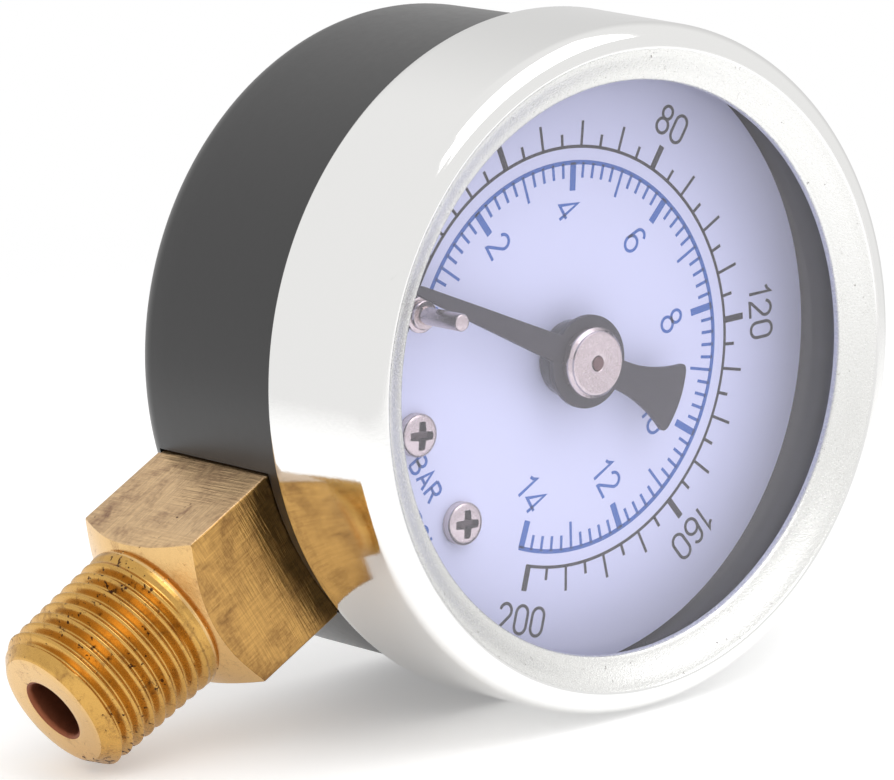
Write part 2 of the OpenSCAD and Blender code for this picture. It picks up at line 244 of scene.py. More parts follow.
def blend_tones(tree, share, a, b):
    """A mix of two colours by a share from 0 to 1."""
    made = add(tree, "ShaderNodeMix", data_type="RGBA", blend_type="MIX")
    for index, value in ((0, share), (6, a), (7, b)):
        if isinstance(value, bpy.types.NodeSocket):
            tree.links.new(value, made.inputs[index])
        else:
            made.inputs[index].default_value = value
    return made.outputs[2]


def ramp(tree, value, low, high):
    """0 below low, 1 above high and smooth between."""
    made = add(tree, "ShaderNodeMapRange", {"Value": value, "From Min": low, "From Max": high})
    made.interpolation_type = "SMOOTHSTEP"
    return made.outputs["Result"]


def place_in_mm(tree):
    """The piece's own coordinates in millimetres."""
    where = add(tree, "ShaderNodeTexCoord").outputs["Object"]
    return add(tree, "ShaderNodeVectorMath", {0: where, 3: 1000.0}, operation="SCALE").outputs[0]


def build_tarnish(group, given, result):
    """Soft patches and fine spots that stain a clean colour."""
    where = place_in_mm(group)
    patches = noise(group, where, given["Scale"], 6.0, Roughness=0.62, Distortion=0.8)
    fine = noise(group, where, maths(group, "MULTIPLY", given["Scale"], 9.0), 4.0)
    mixed = share_of(group, patches, 0.75, fine, 0.25)
    low = maths(group, "SUBTRACT", 0.78, maths(group, "MULTIPLY", given["Amount"], 0.4))
    mask = ramp(group, mixed, low, 0.82)
    group.links.new(mask, result["Mask"])
    group.links.new(blend_tones(group, mask, given["Clean"], given["Stained"]), result["Color"])


def build_grain(group, given, result):
    """An uneven surface, and a roughness that follows it."""
    where = place_in_mm(group)
    coarse = noise(group, where, given["Scale"], 3.0)
    fine = noise(group, where, maths(group, "MULTIPLY", given["Scale"], 5.0), 2.0)
    height = share_of(group, coarse, 0.7, fine, 0.3)
    group.links.new(height, result["Height"])
    low = maths(group, "SUBTRACT", given["Roughness"], given["Spread"])
    spread = maths(group, "MULTIPLY", maths(group, "MULTIPLY", given["Spread"], 2.0), height)
    group.links.new(maths(group, "ADD", low, spread, clamp=True), result["Roughness"])


def build_tool_lines(group, given, result):
    """Fine straight saw marks, level in some patches and upright in others."""
    where = place_in_mm(group)
    turn = given["Turn"]
    angle = add(group, "ShaderNodeCombineXYZ", {"X": turn, "Y": turn, "Z": turn}).outputs[0]
    turning = {"Vector": where, "Rotation": angle}
    turned = add(group, "ShaderNodeVectorRotate", turning, rotation_type="EULER_XYZ").outputs[0]
    lines = []
    for stretch in ((0.04, 0.04, 1.0), (1.0, 1.0, 0.04)):
        drawn = add(
            group, "ShaderNodeVectorMath", {0: turned, 1: stretch}, operation="MULTIPLY"
        ).outputs[0]
        lines.append(noise(group, drawn, given["Density"], 2.0, Roughness=0.6))
    level_share = ramp(group, noise(group, where, 0.35, 2.0), 0.15, 0.85)
    upright_share = maths(group, "SUBTRACT", 1.0, level_share)
    both = share_of(group, lines[0], level_share, lines[1], upright_share)
    group.links.new(ramp(group, both, 0.38, 0.62), result["Height"])


def build_specks(group, given, result):
    """Small dark dots that gather in drifts."""
    where = place_in_mm(group)
    drifts = noise(group, where, maths(group, "MULTIPLY", given["Scale"], 0.16), 2.0)
    fine = noise(group, where, given["Scale"], 3.0, Roughness=0.6)
    mixed = share_of(group, fine, 0.65, drifts, 0.35)
    low = maths(group, "SUBTRACT", 0.72, maths(group, "MULTIPLY", given["Amount"], 0.22))
    group.links.new(ramp(group, mixed, low, maths(group, "ADD", low, 0.05)), result["Mask"])


TARNISH = effect(
    "tarnish",
    [
        ("Clean", "Color", None), ("Stained", "Color", None),
        ("Scale", "Float", 0.4), ("Amount", "Float", 0.5),
    ],
    [("Color", "Color"), ("Mask", "Float")],
    build_tarnish,
)
GRAIN = effect(
    "grain",
    [("Scale", "Float", 4.0), ("Roughness", "Float", 0.3), ("Spread", "Float", 0.05)],
    [("Height", "Float"), ("Roughness", "Float")],
    build_grain,
)
TOOL_LINES = effect(
    "tool_lines",
    [("Turn", "Float", 0.0), ("Density", "Float", 4.0)],
    [("Height", "Float")],
    build_tool_lines,
)
SPECKS = effect(
    "specks",
    [("Scale", "Float", 3.0), ("Amount", "Float", 0.5)],
    [("Mask", "Float")],
    build_specks,
)


def use(tree, group, **values):
    """A shared effect's outputs in a material; values are numbers, colours or other nodes' outputs."""
    made = tree.nodes.new("ShaderNodeGroup")
    made.node_tree = group
    for key, value in values.items():
        if isinstance(value, bpy.types.NodeSocket):
            tree.links.new(value, made.inputs[key])
        else:
            made.inputs[key].default_value = value
    return made.outputs


def surface(name, **plain):
    """A material with its Principled shader; plain values are set on the shader's own sockets."""
    made = bpy.data.materials.new(name)
    made.use_nodes = True
    tree = made.node_tree
    shader = tree.nodes["Principled BSDF"]
    for key, value in plain.items():
        shader.inputs[key.replace("_", " ")].default_value = value
    return made, tree, shader.inputs


def relief(tree, inputs, height, depth):
    """Feeds a height map to the shader's normal; depth is in millimetres."""
    made = add(tree, "ShaderNodeBump", {"Height": height, "Distance": depth * MM, "Strength": 1.0})
    tree.links.new(made.outputs[0], inputs["Normal"])


def metal(
    name, clean, stained, stain, scale, roughness, spread, grain, depth,
    lines=None, line_depth=0.004, specks=None
):
    """A bare metal: its stain, roughness and grain, the grain's depth in millimetres.

    lines are tool marks (turn, density, stain) and specks are dark dots (tone, scale, amount).
    """
    deepest = max(depth, line_depth)
    made, tree, inputs = surface(name, Metallic=1.0)
    stains = use(tree, TARNISH, Clean=clean, Stained=stained, Scale=scale, Amount=stain)
    texture = use(tree, GRAIN, Scale=grain, Roughness=roughness, Spread=spread)
    colour = stains["Color"]
    rough = maths(
        tree, "ADD", texture["Roughness"], maths(tree, "MULTIPLY", stains["Mask"], 0.14), clamp=True
    )
    height = maths(tree, "MULTIPLY", texture["Height"], depth / deepest)
    if lines:
        marks = use(tree, TOOL_LINES, Turn=lines[0], Density=lines[1])
        height = maths(
            tree, "ADD", height, maths(tree, "MULTIPLY", marks["Height"], line_depth / deepest)
        )
        colour = blend_tones(tree, maths(tree, "MULTIPLY", marks["Height"], lines[2]), colour, stained)
    if specks:
        dots = use(tree, SPECKS, Scale=specks[1], Amount=specks[2])
        colour = blend_tones(tree, dots["Mask"], colour, specks[0])
        rough = maths(tree, "ADD", rough, maths(tree, "MULTIPLY", dots["Mask"], 0.2), clamp=True)
        height = maths(tree, "SUBTRACT", height, maths(tree, "MULTIPLY", dots["Mask"], 0.6))
    tree.links.new(colour, inputs["Base Color"])
    tree.links.new(rough, inputs["Roughness"])
    relief(tree, inputs, height, deepest)
    return made


def paint(
    name, colour, shade, roughness, spread, grain, depth, coat=0.0, coat_roughness=0.1, specular=0.5
):
    """A painted or moulded surface: two near tones, grain and an optional clear coat."""
    made, tree, inputs = surface(
        name, Metallic=0.0, Coat_Weight=coat, Coat_Roughness=coat_roughness, Specular_IOR_Level=specular
    )
    tones = use(tree, TARNISH, Clean=colour, Stained=shade, Scale=0.35, Amount=0.5)
    texture = use(tree, GRAIN, Scale=grain, Roughness=roughness, Spread=spread)
    tree.links.new(tones["Color"], inputs["Base Color"])
    tree.links.new(texture["Roughness"], inputs["Roughness"])
    relief(tree, inputs, texture["Height"], depth)
    return made


def clear_window():
    """Clear plastic with a light haze; it lets the light through to the dial."""
    made, tree, inputs = surface(
        "clear_window", Metallic=0.0, Transmission_Weight=0.955, IOR=1.01,
        Coat_Weight=0.7, Coat_Roughness=0.03, Coat_IOR=1.45,
    )
    haze = use(
        tree, TARNISH, Clean=tone(249, 247, 255), Stained=tone(243, 241, 253), Scale=0.12, Amount=0.5
    )
    texture = use(tree, GRAIN, Scale=0.8, Roughness=0.03, Spread=0.015)
    tree.links.new(haze["Color"], inputs["Base Color"])
    tree.links.new(texture["Roughness"], inputs["Roughness"])
    path = add(tree, "ShaderNodeLightPath")
    indirect = maths(tree, "MAXIMUM", path.outputs["Is Shadow Ray"], path.outputs["Is Diffuse Ray"])
    through = add(tree, "ShaderNodeBsdfTransparent", {"Color": tone(250, 250, 253)})
    both = add(tree, "ShaderNodeMixShader", {0: indirect, 2: through.outputs[0]})
    tree.links.new(tree.nodes["Principled BSDF"].outputs[0], both.inputs[1])
    tree.links.new(both.outputs[0], tree.nodes["Material Output"].inputs["Surface"])
    return made


BROWN_OXIDE = tone(70, 44, 34)
# On the block's ±y sides this brass also serves as painted shade, darker than the paler copy on the ±x
# sides.
MILLED_BRASS = metal(
    "milled_brass", tone(202, 158, 92), tone(104, 70, 46), stain=0.95, scale=0.4, roughness=0.3,
    spread=0.07, grain=3.0, depth=0.006, lines=(0.03, 8.0, 0.3), line_depth=0.01,
    specks=(BROWN_OXIDE, 1.6, 0.3)
)
# A paler copy of the block's brass: painted light on the ±x sides, which hold the lit upper face.
LIT_SIDE_BRASS = metal(
    "lit_side_brass", tone(226, 192, 146), tone(116, 80, 66), stain=0.9, scale=0.4, roughness=0.32,
    spread=0.08, grain=3.0, depth=0.006, lines=(0.04, 8.0, 0.26), line_depth=0.01,
    specks=(BROWN_OXIDE, 1.8, 0.35)
)
TURNED_BRASS = metal(
    "turned_brass", tone(222, 184, 126), tone(140, 96, 62), stain=0.65, scale=0.7, roughness=0.24,
    spread=0.06, grain=4.0, depth=0.006, specks=(BROWN_OXIDE, 2.4, 0.4)
)
THREAD_BRASS = metal(
    "thread_brass", tone(202, 158, 86), tone(120, 80, 50), stain=0.75, scale=0.8, roughness=0.26,
    spread=0.07, grain=4.0, depth=0.006, specks=(BROWN_OXIDE, 2.2, 0.6)
)
BORE_BRASS = metal(
    "bore_brass", tone(140, 84, 60), tone(84, 46, 36), stain=0.6, scale=0.9, roughness=0.5, spread=0.1,
    grain=3.0, depth=0.02
)
CHROME = metal(
    "chrome", tone(238, 238, 237), tone(224, 224, 222), stain=0.4, scale=0.5, roughness=0.07, spread=0.03,
    grain=3.4, depth=0.003
)
CHROME_LIP = metal(
    "chrome_lip", tone(230, 230, 228), tone(164, 160, 156), stain=0.5, scale=1.4, roughness=0.26,
    spread=0.08, grain=8.0, depth=0.036, specks=(tone(140, 134, 130), 3.4, 0.3)
)
NICKEL = metal(
    "nickel_plate", tone(216, 204, 198), tone(160, 148, 144), stain=0.45, scale=1.4, roughness=0.26,
    spread=0.06, grain=8.0, depth=0.003, lines=(0.3, 6.0, 0.15), line_depth=0.002
)
# Painted shade: the screws' cross recesses are the same plated metal, darkened here to stand in for the
# shade inside them.
RECESS_PAINTED_SHADE = metal(
    "recess_painted_shade", tone(96, 86, 84), tone(50, 42, 42), stain=0.5, scale=2.0, roughness=0.45, spread=0.08,
    grain=8.0, depth=0.003
)
ARBOR_STEEL = metal(
    "arbor_steel", tone(120, 92, 88), tone(70, 50, 46), stain=0.5, scale=2.5, roughness=0.4, spread=0.08,
    grain=12.0, depth=0.003
)
STEEL = metal(
    "pin_steel", tone(190, 190, 192), tone(150, 148, 146), stain=0.4, scale=1.2, roughness=0.28,
    spread=0.06, grain=8.0, depth=0.003
)
MOVEMENT_BRASS = metal(
    "movement_brass", tone(220, 178, 98), tone(170, 120, 62), stain=0.4, scale=0.6, roughness=0.3,
    spread=0.06, grain=5.0, depth=0.003, lines=(0.2, 6.0, 0.15), line_depth=0.002
)
TUBE_BRONZE = metal(
    "tube_bronze", tone(206, 148, 92), tone(150, 88, 52), stain=0.5, scale=0.35, roughness=0.3,
    spread=0.07, grain=3.0, depth=0.004
)
SPRING_BRONZE = metal(
    "hairspring_bronze", tone(196, 160, 112), tone(120, 92, 90), stain=0.5, scale=1.6, roughness=0.3,
    spread=0.05, grain=8.0, depth=0.002
)
CASE_PAINT = paint(
    "case_paint", tone(31, 31, 32), tone(24, 24, 25), roughness=0.36, spread=0.05, grain=1.6, depth=0.006,
    coat=0.2, coat_roughness=0.24
)
CASE_INSIDE = paint(
    "case_inside_paint", tone(42, 42, 40), tone(33, 33, 31), roughness=0.5, spread=0.08, grain=9.0,
    depth=0.004
)
GASKET_RUBBER = paint(
    "gasket_rubber", tone(32, 32, 31), tone(25, 25, 24), roughness=0.6, spread=0.08, grain=9.0,
    depth=0.008
)
DIAL_ENAMEL = paint(
    "dial_enamel", tone(220, 225, 251), tone(214, 219, 247), roughness=0.42, spread=0.05, grain=6.0,
    depth=0.0015, specular=0.3
)
POINTER_ENAMEL = paint(
    "pointer_enamel", tone(30, 27, 34), tone(23, 20, 26), roughness=0.42, spread=0.06, grain=6.0,
    depth=0.002
)
COLLAR_ENAMEL = paint(
    "collar_enamel", tone(16, 14, 16), tone(10, 10, 12), roughness=0.16, spread=0.05, grain=4.0,
    depth=0.004, coat=0.6, coat_roughness=0.08
)
BLACK_INK = paint(
    "black_scale_ink", tone(28, 24, 32), tone(38, 34, 42), roughness=0.5, spread=0.06, grain=14.0,
    depth=0.001, specular=0.3
)
BLUE_INK = paint(
    "blue_scale_ink", tone(44, 100, 184), tone(54, 110, 192), roughness=0.5, spread=0.06, grain=14.0,
    depth=0.001, specular=0.3
)
WINDOW_CLEAR = clear_window()


# ---------------------------------------------------------------- brass stem and socket


def square_ring(half, corner):
    """Points round a square with rounded corners, as (x, y)."""
    ring = []
    for side in range(4):
        centre = Vector((half - corner, -(half - corner)))
        turn = Matrix.Rotation(math.radians(90 * side), 2)
        for k in range(7):
            a = math.radians(-90 + 15 * k)
            point = centre + Vector((math.cos(a), math.sin(a))) * corner
            ring.append(turn @ point)
        for k in range(1, 16):
            y = -(half - corner) + 2 * (half - corner) * k / 16
            ring.append(turn @ Vector((half, y)))
    return ring


def thread_radius(angle, z):
    """Radius of the tapered helical thread, with its chamfered start and its fading end."""
    crest = THREAD_R + z / 32
    phase = (z / PITCH - angle / (2 * math.pi)) % 1.0
    wave = abs(phase - 0.5) * 2
    flank = held((0.92 - wave) / 0.84)
    groove = flank * flank * (3 - 2 * flank) * 0.5 + flank * 0.5
    fade = held((NECK_Z - 0.75 - z) / 0.9)
    radius = crest - 0.60 * groove * fade
    chamfer = TIP_R + max(0.0, z) * (THREAD_R - 0.16 - TIP_R) / 0.78
    return min(radius, chamfer)


MILLED, TURNED, BORED, THREADED, LIT_SIDE = range(5)
CONE_SHARES = (0.0, 0.12, 0.25, 0.4, 0.55, 0.7, 0.82, 0.92)


def brass_block(x_half, front, back, low, high):
    """A plain block of the socket between two depths and two heights, in millimetres."""
    floor = [(-x_half, front), (x_half, front), (x_half, back), (-x_half, back)]
    points = [Vector((x, y, z)) * MM for z in (low, high) for x, y in floor]
    faces = [([0, 3, 2, 1], MILLED), ([4, 5, 6, 7], MILLED)]
    faces += [([i, (i + 1) % 4, 4 + (i + 1) % 4, 4 + i], MILLED) for i in range(4)]
    return points, faces


def stem_and_socket():
    """The one brass piece: bore, chamfered tip, thread, neck, turned cone, wrench block and inner seat."""
    sides = 240
    shapes = []
    place = lambda radius, angle, z: Vector((radius * math.cos(angle), radius * math.sin(angle), z)) * MM
    bore = [(0.02, 16.0), (1.0, 15.6)] + [(BORE_R, 15.0 - k) for k in range(15)]
    bore += [(BORE_R, 0.32), (2.04, 0.14), (2.14, 0.03), (2.24, 0.0)]
    tip = [(2.24, 0.0), (2.7, 0.0), (3.3, 0.0), (3.8, 0.01), (TIP_R, TIP_CUT)]
    for profile, finish in ((bore, BORED), (tip, TURNED)):
        points, faces = turned_shape(profile, sides, place, closed=False)
        shapes.append((points, [(f, finish) for f in faces]))
    heights = [TIP_CUT + (THREAD_TOP - TIP_CUT) * k / 130 for k in range(1, 131)]
    points = [place(TIP_R, 2 * math.pi * k / sides, TIP_CUT) for k in range(sides)]
    for z in heights:
        for k in range(sides):
            angle = 2 * math.pi * k / sides
            points.append(place(thread_radius(angle, z), angle, z))
    shapes.append((points, [(f, THREADED) for f in bands(len(heights) + 1, sides)]))
    end_r = THREAD_R + THREAD_TOP / 32
    neck = [
        (end_r, THREAD_TOP), (end_r - 0.02, NECK_Z - 0.36), (4.9, NECK_Z - 0.28),
        (4.88, NECK_Z - 0.16), (4.94, NECK_Z - 0.06), (NECK_R, NECK_Z)
    ]
    points, faces = turned_shape(neck, sides, place, closed=False)
    shapes.append((points, [(f, TURNED) for f in faces]))

    ring = square_ring(BLOCK_HALF, BLOCK_CORNER)
    n = len(ring)
    points = []
    for share in CONE_SHARES:
        for p in ring:
            reach = (p.length - NECK_R) * share
            q = p.normalized() * (NECK_R + reach)
            points.append(Vector((q.x, q.y, NECK_Z + CONE_RISE * reach)) * MM)
    edge_z = [NECK_Z + CONE_RISE * (p.length - NECK_R) for p in ring]
    for inset, rise in ((0.075, -0.044), (0.022, 0.0), (0.0, 0.06)):
        for p, z in zip(ring, edge_z):
            q = p.normalized() * (p.length - inset)
            points.append(Vector((q.x, q.y, z + rise)) * MM)
    for z in [k * 0.5 for k in range(24, 36)] + [BLOCK_TOP]:
        for p in ring:
            points.append(Vector((p.x, p.y, z)) * MM)
    for z in (BLOCK_TOP, SEAT_Z):
        for p in ring:
            points.append(Vector((p.x * 0.982, p.y * 0.982, z)) * MM)
    points.append(Vector((0, 0, SEAT_Z)) * MM)
    rows = len(points) // n
    faces = []
    for i, corners in enumerate(bands(rows, n)):
        # Sides facing ±x take the paler brass and sides facing ±y the darker one: painted light and shade
        # on one brass.
        lit_or_shaded_side = LIT_SIDE if (i % n - 3) // 22 % 2 == 0 else MILLED
        faces.append((corners, TURNED if i // n < len(CONE_SHARES) else lit_or_shaded_side))
    top = (rows - 1) * n
    for k in range(n):
        faces.append(([top + k, top + (k + 1) % n, len(points) - 1], MILLED))
    shapes.append((points, faces))

    shapes.append(brass_block(SEAT_HALF, -3.5, 5.5, SEAT_Z, SEAT_TOP))
    shapes.append(brass_block(SEAT_HALF, 5.5, 6.5, 20.0, SEAT_TOP))
    points, faces = gather(shapes)
    finishes = [MILLED_BRASS, TURNED_BRASS, BORE_BRASS, THREAD_BRASS, LIT_SIDE_BRASS]
    return piece("stem_and_socket", points, faces, finishes, "frame", ["socket"], 50.0)


# ---------------------------------------------------------------- case, bezel, window


def arc_profile(centre_r, centre_d, radius, first, last, steps):
    """Profile points on an arc; angle 0 points outwards and 90 points to the back."""
    out = []
    for k in range(steps + 1):
        a = math.radians(first + (last - first) * k / steps)
        out.append((centre_r + radius * math.cos(a), centre_d + radius * math.sin(a)))
    return out


CASE_R, CASE_INNER_R = 20.9, 20.2
OPENING_FRONT, OPENING_BACK = 4.69, 15.9
OPENING_HALF, OPENING_STEPS = 5.6, 12


def beside_opening(radius, depth):
    """Whether a point of the case's wall lies within the depth of the block's square opening."""
    return OPENING_FRONT <= depth <= OPENING_BACK and radius > 19.0


def case_cup():
    """The painted cup: front flange, straight wall, rounded back corner and the square cut-out."""
    outer = [
        (20.2, -4.2), (20.6, -4.2), (21.04, -4.19), (21.12, -4.12), (21.12, -3.65), (21.0, -3.42),
        (20.9, -3.3)
    ]
    outer += [(CASE_R, d) for d in (-2.0, 0.0, 2.0, 3.4, 4.7, 6.5, 8.5, 10.5, 12.5, 14.0, 15.5)]
    outer += arc_profile(18.9, 15.5, 2.0, 0, 90, 12)[1:]
    outer += [(16.0, 17.5), (9.0, 17.5), (0.02, 17.5)]
    inner = [(0.02, 16.8), (9.0, 16.8), (16.0, 16.8)] + arc_profile(18.9, 15.5, 1.3, 90, 0, 12)
    inner += [(CASE_INNER_R, d) for d in (14.0, 12.5, 10.5, 8.5, 6.5, 4.7, 3.4, 2.0, 0.0, -2.0, -3.3)]
    profile = outer + inner
    half = math.degrees(math.asin(OPENING_HALF / CASE_R))
    angles = [180 - half + 2 * half * k / OPENING_STEPS for k in range(OPENING_STEPS + 1)]
    free = 360 - 2 * half
    count = 210
    angles += [180 + half + free * k / count for k in range(1, count)]
    sides = len(angles)
    points = []
    for radius, depth in profile:
        for a in angles:
            x, z = clock(radius, a)
            points.append(at_dial(x, z, depth))
    faces = []
    rows = len(profile)
    outer_rows = len(outer)
    for i in range(rows):
        j = (i + 1) % rows
        in_opening = beside_opening(*profile[i]) and beside_opening(*profile[j])
        finish = 0 if i < outer_rows else 1
        for k in range(sides):
            if in_opening and k < OPENING_STEPS:
                continue
            m = (k + 1) % sides
            faces.append(([i * sides + k, i * sides + m, j * sides + m, j * sides + k], finish))
    rim_out = [i for i in range(outer_rows) if beside_opening(*profile[i])]
    rim_in = [i for i in range(outer_rows, rows) if beside_opening(*profile[i])][::-1]
    for k in (0, OPENING_STEPS):
        pairs = list(zip(rim_out, rim_in))
        for (a, b), (c, d) in zip(pairs, pairs[1:]):
            faces.append(([a * sides + k, c * sides + k, d * sides + k, b * sides + k], 1))
    for a, b in ((rim_out[0], rim_in[0]), (rim_out[-1], rim_in[-1])):
        for k in range(OPENING_STEPS):
            faces.append(([a * sides + k, a * sides + k + 1, b * sides + k + 1, b * sides + k], 1))
    return piece(
        "case_cup", points, faces, [CASE_PAINT, CASE_INSIDE], "frame", ["case"], 40.0
    )


def bezel_ring():
    """The chromed ring: rolled rear edge, narrowing side, round front corner, bead and sloping lip."""
    side = [(21.85 - 0.2 * (2.5 - d) / 8.15, d) for d in (1.9, 0.0, -2.0, -4.0, -5.2)]
    profile = [(21.42, 2.42), (21.5, 2.5), (21.76, 2.5), (21.83, 2.44), (21.85, 2.3)] + side
    profile += arc_profile(20.25, -5.644, 1.4, 0, -95, 16)
    barrel_rows = len(profile)
    profile += [
        (20.06, -6.99), (20.0, -6.93), (19.92, -6.91), (19.4, -6.56), (18.9, -6.22), (18.4, -5.89),
        (18.24, -5.83), (18.1, -5.77), (18.02, -5.68), (18.0, -5.52), (18.0, -5.25)
    ]
    lip_rows = len(profile)
    profile += [
        (18.6, -5.27), (19.2, -5.8), (19.75, -6.3), (20.25, -6.52), (20.85, -6.3), (21.13, -5.65),
        (21.2, -3.0), (21.28, 0.0)
    ]
    sides = 300
    points, faces = turned_shape(profile, sides, about_dial_axis(0, 0))
    finished = [
        (face, 1 if barrel_rows <= i // sides < lip_rows - 1 else 0) for i, face in enumerate(faces)
    ]
    return piece("bezel_ring", points, finished, [CHROME, CHROME_LIP], "frame", ["bezel"], 50.0)


# ---------------------------------------------------------------- dial print


def psi_angle(psi):
    """The clockwise angle of a psi value on the dial."""
    return START_ANGLE + (FULL_ANGLE - START_ANGLE) * psi / FULL_PSI


def arc_band(radius, width, first, last, steps=220):
    """A printed arc as a thin slab."""
    outline = [clock(radius + width / 2, first + (last - first) * k / steps) for k in range(steps + 1)]
    inner = [clock(radius - width / 2, first + (last - first) * k / steps) for k in range(steps + 1)]
    points, faces = [], []
    for k in range(steps + 1):
        for x, z in (outline[k], inner[k]):
            points.append(at_dial(x, z, -PRINT_DEPTH))
            points.append(at_dial(x, z, 0.0))
    for k in range(steps):
        a, b = 4 * k, 4 * (k + 1)
        faces += [
            [a, b, b + 2, a + 2], [a + 1, a + 3, b + 3, b + 1], [a, a + 1, b + 1, b],
            [a + 2, b + 2, b + 3, a + 3]
        ]
    faces += [[0, 2, 3, 1], [4 * steps, 4 * steps + 1, 4 * steps + 3, 4 * steps + 2]]
    return points, faces


def tick(angle, inner, outer, width):
    """A printed radial line."""
    right = Vector((math.cos(math.radians(angle)), -math.sin(math.radians(angle)))) * width / 2
    a, b = Vector(clock(inner, angle)), Vector(clock(outer, angle))
    return slab_shape(
        [tuple(a - right), tuple(a + right), tuple(b + right), tuple(b - right)], 0.0, -PRINT_DEPTH
    )


def psi_scale():
    """The outer black scale: its arc and its bold, long and short marks."""
    shapes = [arc_band(PSI_ARC_R, 0.2, psi_angle(0) - 0.7, psi_angle(200) + 0.7)]
    for step in range(41):
        psi = step * 5
        if psi % 40 == 0:
            shapes.append(tick(psi_angle(psi), PSI_TICK_INNER, 14.9, 0.42))
        elif psi % 10 == 0:
            shapes.append(tick(psi_angle(psi), PSI_TICK_INNER, 14.92, 0.19))
        else:
            shapes.append(tick(psi_angle(psi), PSI_TICK_INNER, 14.12, 0.2))
    points, faces = gather(shapes)
    return piece("psi_scale", points, faces, [BLACK_INK], "frame")


def bar_scale():
    """The inner blue scale: its arc and its bold, long and short marks."""
    shapes = [arc_band(BAR_ARC_R, 0.28, psi_angle(0.4 * PSI_PER_BAR), psi_angle(14 * PSI_PER_BAR) + 0.9)]
    for step in range(2, 71):
        angle = psi_angle(step * 0.2 * PSI_PER_BAR)
        if step % 10 == 0:
            shapes.append(tick(angle, BAR_LONG_INNER, BAR_ARC_R, 0.46))
        elif step % 5 == 0:
            shapes.append(tick(angle, BAR_LONG_INNER, BAR_ARC_R, 0.19))
        else:
            shapes.append(tick(angle, BAR_SHORT_INNER, BAR_ARC_R, 0.2))
    points, faces = gather(shapes)
    return piece("bar_scale", points, faces, [BLUE_INK], "frame")


def bow(x, y, wide, tall, first, last, steps=12):
    """Points on part of an ellipse, between two angles in degrees."""
    out = []
    for k in range(steps + 1):
        a = math.radians(first + (last - first) * k / steps)
        out.append((x + wide * math.cos(a), y + tall * math.sin(a)))
    return out


def strokes_of(sign):
    """The pen strokes of a figure or capital, one unit high, and its width."""
    upper_bowl = [(0, 1)] + bow(0.28, 0.76, 0.22, 0.24, 90, -90) + [(0, 0.52)]
    return {
        "0": (
            0.5,
            [bow(0.25, 0.72, 0.25, 0.28, 0, 180) + bow(0.25, 0.28, 0.25, 0.28, 180, 360) + [(0.5, 0.72)]]
        ),
        "1": (0.3, [[(0.0, 0.8), (0.12, 0.86), (0.22, 1.0), (0.22, 0.0)]]),
        "2": (0.5, [bow(0.25, 0.73, 0.24, 0.27, 170, -30) + [(0.02, 0.08), (0.0, 0.0), (0.52, 0.0)]]),
        "4": (0.54, [[(0.4, 0.0), (0.4, 1.0), (0.0, 0.27), (0.54, 0.27)]]),
        "6": (0.5, [bow(0.26, 0.74, 0.22, 0.26, 30, 165) + bow(0.25, 0.3, 0.25, 0.3, 180, 540, 26)]),
        "8": (
            0.5, [bow(0.25, 0.765, 0.21, 0.235, 0, 360, 24), bow(0.25, 0.265, 0.25, 0.265, 0, 360, 24)]
        ),
        "A": (0.56, [[(0.0, 0.0), (0.28, 1.0), (0.56, 0.0)], [(0.1, 0.32), (0.46, 0.32)]]),
        "B": (
            0.52,
            [[(0, 0), (0, 1)], upper_bowl, [(0, 0.52)] + bow(0.28, 0.26, 0.24, 0.26, 90, -90) + [(0, 0)]]
        ),
        "I": (0.1, [[(0.05, 0), (0.05, 1)]]),
        "P": (0.5, [[(0, 0), (0, 1)], upper_bowl]),
        "R": (0.52, [[(0, 0), (0, 1)], upper_bowl, [(0.28, 0.52), (0.52, 0)]]),
        "S": (0.5, [bow(0.25, 0.74, 0.23, 0.26, 30, 270) + bow(0.25, 0.24, 0.25, 0.24, 90, -150)[1:]]),
    }[sign]


def ribbon(line, width, place):
    """A printed stroke of even width along a line; place maps (u, v, depth) to a point."""
    count = len(line)
    loop = (Vector(line[0]) - Vector(line[-1])).length < 1e-6
    points, faces = [], []
    for i, spot in enumerate(line):
        before = line[i - 1] if i else (line[-2] if loop else spot)
        after = line[i + 1] if i < count - 1 else (line[1] if loop else spot)
        run_in, run_out = Vector(spot) - Vector(before), Vector(after) - Vector(spot)
        run_in = run_in.normalized() if run_in.length > 1e-9 else run_out.normalized()
        run_out = run_out.normalized() if run_out.length > 1e-9 else run_in
        along = (run_in + run_out).normalized() if (run_in + run_out).length > 1e-6 else run_in
        side = Vector((-along.y, along.x)) * (width / 2 / max(0.45, along.dot(run_in)))
        for depth in (-PRINT_DEPTH, 0.0):
            points.append(place(spot[0] + side.x, spot[1] + side.y, depth))
            points.append(place(spot[0] - side.x, spot[1] - side.y, depth))
    for i in range(count - 1):
        a, b = 4 * i, 4 * (i + 1)
        faces += [
            [a, a + 1, b + 1, b], [a + 2, b + 2, b + 3, a + 3], [a, b, b + 2, a + 2],
            [a + 1, a + 3, b + 3, b + 1]
        ]
    last = 4 * (count - 1)
    if not loop:
        faces += [[0, 2, 3, 1], [last, last + 1, last + 3, last + 2]]
    return points, faces


def lettering(words, x, z, height, turn, stroke=0.2, gap=0.4):
    """Printed figures centred at x, z from the dial's middle, their tops at the clockwise angle turn."""
    tall = height - stroke
    c, s = math.cos(math.radians(turn)), math.sin(math.radians(turn))
    widths = [strokes_of(sign)[0] * tall * 1.08 for sign in words]
    start = -(sum(widths) + gap * (len(words) - 1)) / 2
    on_dial = lambda u, v, depth: at_dial(x + u * c + v * s, z - u * s + v * c, depth)
    shapes = []
    for sign, width in zip(words, widths):
        for line in strokes_of(sign)[1]:
            drawn = [(start + u * tall * 1.08, (v - 0.5) * tall) for u, v in line]
            shapes.append(ribbon(drawn, stroke, on_dial))
        start += width + gap
    return gather(shapes)


